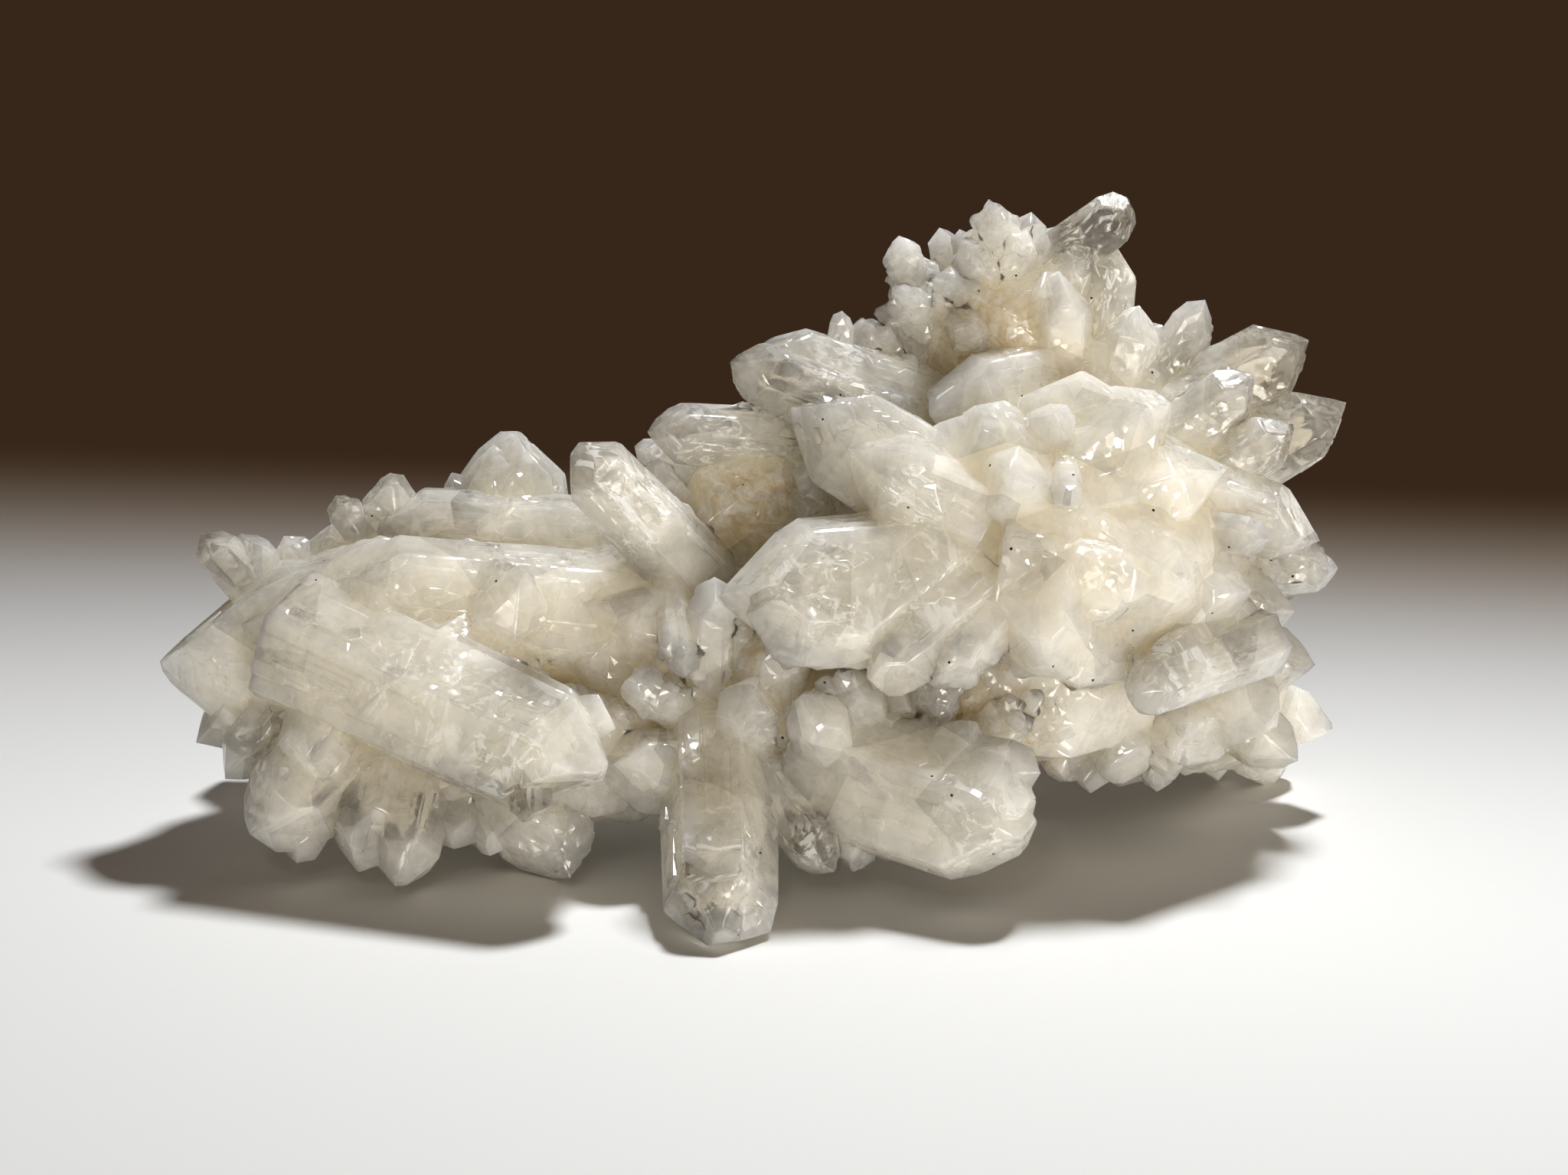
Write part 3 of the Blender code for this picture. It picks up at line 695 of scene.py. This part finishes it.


# Milky quartz with grown faces: glossy as glass, and frosted in fields. The eye sees into it where it
# is thin, and meets white clouds, healed fractures and iron stain where it is thick. In a few places
# the white of the fractures is a painted highlight, and one patch in the stain's colour is painted
# shade.

quartzLook = {
    "milk": "#f4efe3",
    "milkShade": "#ebe4d4",
    "inside": "#f1ebd8",      # what is left of white light on its way through
    "absorption": 18.0,
    "ior": 1.544,
    "gloss": 0.07,
    "frosted": 0.30,
    "frostRange": (0.35, 0.75),
    "clearTransmission": 0.93,
    "milkyTransmission": 0.08,
    "scatter": 9.0,           # mm that light runs under the surface
    "scatterTint": (1.0, 0.94, 0.82),
    "cloudSize": 5.0,         # mm
    "cloudAmount": 0.9,
    "cloudShift": -0.38,
    "wispSize": 1.5,          # mm
    "wispAmount": 0.45,
    "wispShift": -0.22,
    "grainSize": 4.6,         # mm, fields of clearer and milkier growth
    "grainAmount": 0.34,
    # white of the veils, also used for the painted highlights
    "veilAndHighlightWhite": "#fffcf4",
    "veilAndHighlightAmount": 0.85,
    "veilStretch": (0.4, 4.5, 1.0),
    "veilRange": (0.53, 0.60),
    # the iron stain's colour, also used as painted shade on the front crystal
    "ironStainAndShade": "#dcc391",
    "stainAndShadeAmount": 0.7,
    "stainAndShadeRange": (0.36, 0.60),
    "hollowStain": 0.18,
    "hollowRange": (0.35, 0.90),
    "dust": "#2d2620",
    "dustSize": 1.3,          # mm between the cells that may hold a speck
    "dustReach": 0.075,       # of a cell
    "dustShare": 0.16,        # of the cells
    "lineSpacing": 0.30,      # mm between growth lines, coarser than most real ones so that they show
    "lineDepth": 0.010,       # mm
    "waveSize": 2.0,          # mm
    "waveDepth": 0.03,        # mm
    "sparkSize": 0.42,        # mm
    "sparkTilt": 0.55,
    "sparkPatch": 3.1,        # mm
    "sparkRange": (0.50, 0.62),
}


def quartzMaterial():
    material, tree = newMaterial("milkyQuartzGrown")
    look = quartzLook

    place = addNode(tree, "ShaderNodeTexCoord").outputs["Object"]
    clear = addNode(tree, "ShaderNodeAttribute", {"attribute_name": "clear"}).outputs["Fac"]
    hollow = addNode(tree, "ShaderNodeAttribute", {"attribute_name": "hollow"}).outputs["Fac"]
    ironAndShade = addNode(tree, "ShaderNodeAttribute", {"attribute_name": "ironAndShade"}).outputs["Fac"]
    veilAndHighlight = addNode(tree, "ShaderNodeAttribute", {"attribute_name": "veilAndHighlight"}).outputs["Fac"]
    line = addNode(tree, "ShaderNodeAttribute", {"attribute_name": "growthLine"}).outputs["Vector"]
    cloud = addNode(tree, "ShaderNodeTexNoise", {
        "Scale": 1 / (look["cloudSize"] * mm), "Detail": 3, "Roughness": 0.62,
    }, {"Vector": place}).outputs["Fac"]
    wisps = addNode(tree, "ShaderNodeTexNoise", {
        "Scale": 1 / (look["wispSize"] * mm), "Detail": 3, "Roughness": 0.7, "Distortion": 1.6,
    }, {"Vector": place}).outputs["Fac"]

    # grains: straight-sided fields that grew a little clearer or milkier than the next
    grains = addNode(tree, "ShaderNodeTexVoronoi", {"Scale": 1 / (look["grainSize"] * mm)},
                     {"Vector": place})
    grain = addNode(tree, "ShaderNodeSeparateColor", None,
                    {"Color": grains.outputs["Color"]}).outputs[0]

    # how clear: the measured value, with clouds, grains and wisps of milk in it
    cloudHere = addNode(tree, "ShaderNodeMath", {
        "operation": "MULTIPLY_ADD", 1: look["cloudAmount"], 2: look["cloudShift"],
    }, {0: cloud}).outputs[0]
    wispHere = addNode(tree, "ShaderNodeMath", {
        "operation": "MULTIPLY_ADD", 1: look["wispAmount"], 2: look["wispShift"],
    }, {0: wisps}).outputs[0]
    clouded = addNode(tree, "ShaderNodeMath", {"operation": "ADD"},
                      {0: clear, 1: cloudHere}).outputs[0]
    grained = addNode(tree, "ShaderNodeMath", {
        "operation": "MULTIPLY_ADD", 1: look["grainAmount"],
    }, {0: grain, 2: clouded}).outputs[0]
    clarityHere = addNode(tree, "ShaderNodeMath", {"operation": "ADD", "use_clamp": True},
                          {0: grained, 1: wispHere}).outputs[0]
    transmission = addNode(tree, "ShaderNodeMapRange", {
        "To Min": look["milkyTransmission"], "To Max": look["clearTransmission"],
    }, {"Value": clarityHere}).outputs[0]

    # veils: the white streaks that healed fractures show as, along the crystal; in their strongest
    # spots the white is a painted highlight
    stretched = addNode(tree, "ShaderNodeVectorMath", {"operation": "MULTIPLY", 1: look["veilStretch"]},
                        {0: line}).outputs[0]
    streaks = addNode(tree, "ShaderNodeTexNoise", {
        "Scale": 1.3, "Detail": 3, "Roughness": 0.62, "Distortion": 1.8,
    }, {"Vector": stretched}).outputs["Fac"]
    streak = addNode(tree, "ShaderNodeMapRange", {
        "From Min": look["veilRange"][0], "From Max": look["veilRange"][1],
        "To Max": look["veilAndHighlightAmount"],
    }, {"Value": streaks}).outputs[0]
    veilAndHighlightHere = addNode(tree, "ShaderNodeMath", {"operation": "MULTIPLY", "use_clamp": True},
                     {0: streak, 1: veilAndHighlight}).outputs[0]

    # iron stain, in patches within its hollows and faintly in every deep hollow; one spot of it is
    # painted shade on the front crystal
    patch = addNode(tree, "ShaderNodeMapRange", {
        "From Min": look["stainAndShadeRange"][0], "From Max": look["stainAndShadeRange"][1],
    }, {"Value": wisps}).outputs[0]
    spotStainAndShade = addNode(tree, "ShaderNodeMath", {"operation": "MULTIPLY", "use_clamp": True},
                        {0: ironAndShade, 1: patch}).outputs[0]
    hollowStain = addNode(tree, "ShaderNodeMapRange", {
        "From Min": look["hollowRange"][0], "From Max": look["hollowRange"][1],
        "To Max": look["hollowStain"],
    }, {"Value": hollow}).outputs[0]
    stainAndShade = addNode(tree, "ShaderNodeMath", {"operation": "MAXIMUM"},
                    {0: spotStainAndShade, 1: hollowStain}).outputs[0]
    stainAndShadeHere = addNode(tree, "ShaderNodeMath", {"operation": "MULTIPLY", 1: look["stainAndShadeAmount"]},
                        {0: stainAndShade}).outputs[0]

    shade = addNode(tree, "ShaderNodeMath", {"operation": "MULTIPLY_ADD", 1: 0.6},
                    {0: grain, 2: wisps})
    milk = addNode(tree, "ShaderNodeMix", {
        "data_type": "RGBA", 6: linear(look["milkShade"]), 7: linear(look["milk"]),
    }, {0: shade.outputs[0]}).outputs[2]
    whitened = addNode(tree, "ShaderNodeMix", {"data_type": "RGBA", 7: linear(look["veilAndHighlightWhite"])},
                       {0: veilAndHighlightHere, 6: milk}).outputs[2]
    stained = addNode(tree, "ShaderNodeMix", {"data_type": "RGBA", 7: linear(look["ironStainAndShade"])},
                      {0: stainAndShadeHere, 6: whitened}).outputs[2]

    # dust: a dark speck in the middle of a few cells
    dust = addNode(tree, "ShaderNodeTexVoronoi", {"Scale": 1 / (look["dustSize"] * mm)},
                   {"Vector": place})
    inMiddle = addNode(tree, "ShaderNodeMath", {"operation": "LESS_THAN", 1: look["dustReach"]},
                       {0: dust.outputs["Distance"]}).outputs[0]
    cell = addNode(tree, "ShaderNodeSeparateColor", None, {"Color": dust.outputs["Color"]})
    chosen = addNode(tree, "ShaderNodeMath", {"operation": "LESS_THAN", 1: look["dustShare"]},
                     {0: cell.outputs[0]}).outputs[0]
    speck = addNode(tree, "ShaderNodeMath", {"operation": "MULTIPLY"},
                    {0: inMiddle, 1: chosen}).outputs[0]
    colour = addNode(tree, "ShaderNodeMix", {"data_type": "RGBA", 7: linear(look["dust"])},
                     {0: speck, 6: stained}).outputs[2]

    # no light goes through a veil, a painted highlight or a speck
    closed = addNode(tree, "ShaderNodeMath", {"operation": "MAXIMUM"},
                     {0: speck, 1: veilAndHighlightHere}).outputs[0]
    openShare = addNode(tree, "ShaderNodeMath", {"operation": "SUBTRACT", 0: 1.0},
                        {1: closed}).outputs[0]
    through = addNode(tree, "ShaderNodeMath", {"operation": "MULTIPLY"},
                      {0: transmission, 1: openShare}).outputs[0]
    rough = addNode(tree, "ShaderNodeMapRange", {
        "From Min": look["frostRange"][0], "From Max": look["frostRange"][1],
        "To Min": look["frosted"], "To Max": look["gloss"],
    }, {"Value": cloud}).outputs[0]

    # small grown faces that each catch the light on their own, in patches
    cells = addNode(tree, "ShaderNodeTexVoronoi", {"Scale": 1 / (look["sparkSize"] * mm)},
                    {"Vector": place})
    tilt = addNode(tree, "ShaderNodeVectorMath", {"operation": "SUBTRACT", 1: (0.5, 0.5, 0.5)},
                   {0: cells.outputs["Color"]}).outputs[0]
    patches = addNode(tree, "ShaderNodeTexNoise", {"Scale": 1 / (look["sparkPatch"] * mm), "Detail": 1},
                      {"Vector": place}).outputs["Fac"]
    tiltHere = addNode(tree, "ShaderNodeMapRange", {
        "From Min": look["sparkRange"][0], "From Max": look["sparkRange"][1],
        "To Max": look["sparkTilt"],
    }, {"Value": patches}).outputs[0]
    tilted = addNode(tree, "ShaderNodeVectorMath", {"operation": "SCALE"}, {0: tilt, "Scale": tiltHere})
    surface = addNode(tree, "ShaderNodeNewGeometry").outputs["Normal"]
    turned = addNode(tree, "ShaderNodeVectorMath", {"operation": "ADD"},
                     {0: surface, 1: tilted.outputs[0]})
    sparkNormal = addNode(tree, "ShaderNodeVectorMath", {"operation": "NORMALIZE"},
                          {0: turned.outputs[0]})

    # growth lines across each prism face, and broad waves
    lines = addNode(tree, "ShaderNodeTexNoise", {
        "Scale": 1 / look["lineSpacing"], "Detail": 2, "Roughness": 0.6,
    }, {"Vector": line}).outputs["Fac"]
    waves = addNode(tree, "ShaderNodeTexNoise", {
        "Scale": 1 / (look["waveSize"] * mm), "Detail": 2, "Roughness": 0.6,
    }, {"Vector": place}).outputs["Fac"]
    lineBump = addNode(tree, "ShaderNodeBump", {"Strength": 1.0, "Distance": look["lineDepth"] * mm},
                       {"Height": lines, "Normal": sparkNormal.outputs[0]})
    bump = addNode(tree, "ShaderNodeBump", {"Strength": 1.0, "Distance": look["waveDepth"] * mm},
                   {"Height": waves, "Normal": lineBump.outputs[0]}).outputs[0]

    shader = addNode(tree, "ShaderNodeBsdfPrincipled", {
        "IOR": look["ior"],
        "Subsurface Weight": 1.0,
        "Subsurface Radius": look["scatterTint"],
        "Subsurface Scale": look["scatter"] * mm,
    }, {"Base Color": colour, "Roughness": rough, "Transmission Weight": through, "Normal": bump})
    absorb = addNode(tree, "ShaderNodeVolumeAbsorption", {
        "Color": linear(look["inside"]), "Density": look["absorption"],
    })
    addNode(tree, "ShaderNodeOutputMaterial", None,
            {"Surface": shader.outputs[0], "Volume": absorb.outputs[0]})
    return material


# The milky inside, which shows as clouds behind the clear outer growth and ends before the tips

heart = {
    "depth": 1.6,             # mm below the surface
    "voxel": 0.55,            # mm
    "filled": 0.95,           # of the full density, where its skin is
    "cloudSize": 2.6,         # mm
    "cloudDepth": 0.8,        # mm
    "cloudNoise": (0.9, 2.1, 3), # how smooth, how much finer each layer is, and how many
    "cloudFrom": -0.3,        # clouds stronger than this eat into it
    "leastCorners": 60,       # a loose bit with fewer is left out
    "colour": "#fefaf0",
}


def dropLooseBits(bm):
    waiting = set(bm.verts)
    dropped = []
    while waiting:
        front = [waiting.pop()]
        bit = list(front)
        while front:
            reached = front.pop()
            for edge in reached.link_edges:
                vert = edge.other_vert(reached)
                if vert in waiting:
                    waiting.remove(vert)
                    front.append(vert)
                    bit.append(vert)
        if len(bit) < heart["leastCorners"]:
            dropped += bit
    bmesh.ops.delete(bm, geom=dropped, context="VERTS")


def growHeart(solid):
    # the solid filled and skinned again deeper in, with Blender's own volume modifiers
    scene = bpy.context.scene
    filled = bpy.data.objects.new("heartVolume", bpy.data.volumes.new("heartVolume"))
    scene.collection.objects.link(filled)
    fill = filled.modifiers.new("fill", "MESH_TO_VOLUME")
    fill.object = solid
    fill.resolution_mode = "VOXEL_SIZE"
    fill.voxel_size = heart["voxel"] * mm
    fill.interior_band_width = heart["depth"] * mm
    skin = bpy.data.objects.new("heartSkin", bpy.data.meshes.new("heartSkin"))
    scene.collection.objects.link(skin)
    surface = skin.modifiers.new("surface", "VOLUME_TO_MESH")
    surface.object = filled
    surface.threshold = heart["filled"]
    graph = bpy.context.evaluated_depsgraph_get()
    made = bpy.data.meshes.new_from_object(skin.evaluated_get(graph))
    bpy.data.objects.remove(skin)
    bpy.data.objects.remove(filled)
    bm = bmesh.new()
    bm.from_mesh(made)
    dropLooseBits(bm)
    print("milky inside: corners", len(bm.verts), "faces", len(bm.faces))
    bmesh.ops.smooth_vert(
        bm, verts=bm.verts, factor=0.5, use_axis_x=True, use_axis_y=True, use_axis_z=True
    )
    bm.normal_update()
    for vert in bm.verts:
        cloud = noise.fractal(vert.co / (heart["cloudSize"] * mm), *heart["cloudNoise"])
        vert.co -= vert.normal * max(0.0, cloud - heart["cloudFrom"]) * heart["cloudDepth"] * mm
    return bm


def heartMaterial():
    # quartz full of tiny bubbles of water: the eye sees a dull white body with no shine of its own
    material, tree = newMaterial("milkyQuartzInside")
    shader = addNode(tree, "ShaderNodeBsdfPrincipled", {
        "Base Color": linear(heart["colour"]), "Roughness": 1.0, "Specular IOR Level": 0.0,
    })
    addNode(tree, "ShaderNodeOutputMaterial", None, {"Surface": shader.outputs[0]})
    return material


print("filling it with its milky inside")
milky = newObject("milkyHeart", growHeart(cad), heartMaterial())
milky.data.shade_smooth()
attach(milky, "root")

cluster = newObject("grownQuartz", grown, quartzMaterial())
markGrowthLines(cluster.data, runs)
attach(cluster, "root")
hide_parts("quartz_cluster")


# Pale uncoated paper to stand on: matt, tinted warm towards the back as painted warm light, and it
# ends out of the light behind the cluster

stageLook = {
    "paper": "#eeefee",
    # painted warm light: the colour the paper takes on towards the back
    "paperFarWarmLight": "#e8cfae",
    "room": "#37271a",
    "paperUntil": -22.0,      # mm behind the middle
    "warmLightFrom": 45.0,         # mm
    "roomFrom": 116.0,        # mm
    "turn": 0.15,             # how much nearer the paper's end is for each mm to the right
    "sheet": (150.0, 260.0),  # mm from the middle, where the paper ends on the other sides
    "size": 1.6,              # m
}


def floorMaterial():
    material, tree = newMaterial("palePaper")
    place = addNode(tree, "ShaderNodeTexCoord").outputs["Object"]

    behind = addNode(tree, "ShaderNodeVectorMath", {
        "operation": "DOT_PRODUCT", 1: (stageLook["turn"], 1, 0),
    }, {0: place}).outputs["Value"]
    away = addNode(tree, "ShaderNodeVectorMath", {"operation": "LENGTH"}, {0: place}).outputs["Value"]
    farEnd = addNode(tree, "ShaderNodeMapRange", {
        "interpolation_type": "SMOOTHSTEP",
        "From Min": stageLook["paperUntil"] * mm, "From Max": stageLook["roomFrom"] * mm,
    }, {"Value": behind}).outputs[0]
    sheetEnd = addNode(tree, "ShaderNodeMapRange", {
        "interpolation_type": "SMOOTHSTEP",
        "From Min": stageLook["sheet"][0] * mm, "From Max": stageLook["sheet"][1] * mm,
    }, {"Value": away}).outputs[0]
    ended = addNode(tree, "ShaderNodeMath", {"operation": "MAXIMUM"},
                    {0: farEnd, 1: sheetEnd}).outputs[0]
    warmLight = addNode(tree, "ShaderNodeMapRange", {
        # painted warm light on the paper towards the back
        "interpolation_type": "SMOOTHSTEP",
        "From Min": stageLook["warmLightFrom"] * mm, "From Max": stageLook["roomFrom"] * mm,
    }, {"Value": behind}).outputs[0]
    colour = addNode(tree, "ShaderNodeMix", {
        "data_type": "RGBA", 6: linear(stageLook["paper"]), 7: linear(stageLook["paperFarWarmLight"]),
    }, {0: warmLight}).outputs[2]
    paper = addNode(tree, "ShaderNodeBsdfPrincipled", {"Roughness": 0.85, "Specular IOR Level": 0.2},
                    {"Base Color": colour})
    gone = addNode(tree, "ShaderNodeBsdfTransparent")
    mixed = addNode(tree, "ShaderNodeMixShader", None,
                    {0: ended, 1: paper.outputs[0], 2: gone.outputs[0]})
    addNode(tree, "ShaderNodeOutputMaterial", None, {"Surface": mixed.outputs[0]})
    return material


def buildStage():
    bm = bmesh.new()
    bmesh.ops.create_grid(bm, x_segments=1, y_segments=1, size=stageLook["size"] / 2)
    floor = newObject("floor", bm, floorMaterial())
    world = bpy.data.worlds.new("dimRoom")
    world.use_nodes = True
    background = world.node_tree.nodes["Background"]
    background.inputs["Color"].default_value = linear(stageLook["room"])
    bpy.context.scene.world = world
    bpy.context.scene.view_settings.view_transform = "Standard"


# A desk lamp high behind on the right, a low bright strip of room in front, and a small far lamp for
# the sparkle. Places and sizes in m, power in W.

lights = {
    "deskLamp": {
        "at": (0.070, 0.085, 0.275), "size": (0.045, 0.045), "power": 0.97, "colour": "#fdfeff",
    },
    "roomSide": {
        "at": (0.22, -0.42, 0.014), "size": (0.60, 0.022), "power": 2.1, "colour": "#fff7ea",
    },
    "spark": {
        "at": (-0.05, -0.30, 0.26), "size": (0.012, 0.012), "power": 0.045, "colour": "#ffffff",
    },
}


def buildLights():
    for name, light in lights.items():
        lamp = bpy.data.lights.new(name, "AREA")
        lamp.shape = "ELLIPSE"
        lamp.size = light["size"][0]
        lamp.size_y = light["size"][1]
        lamp.energy = light["power"]
        lamp.color = linear(light["colour"])[:3]
        made = bpy.data.objects.new(name, lamp)
        made.location = light["at"]
        towards = Vector((0, 0, 0.015)) - made.location
        made.rotation_euler = towards.to_track_quat("-Z", "Y").to_euler()
        bpy.context.scene.collection.objects.link(made)


print("stage, lights and camera")
buildStage()
buildLights()
buildCamera()
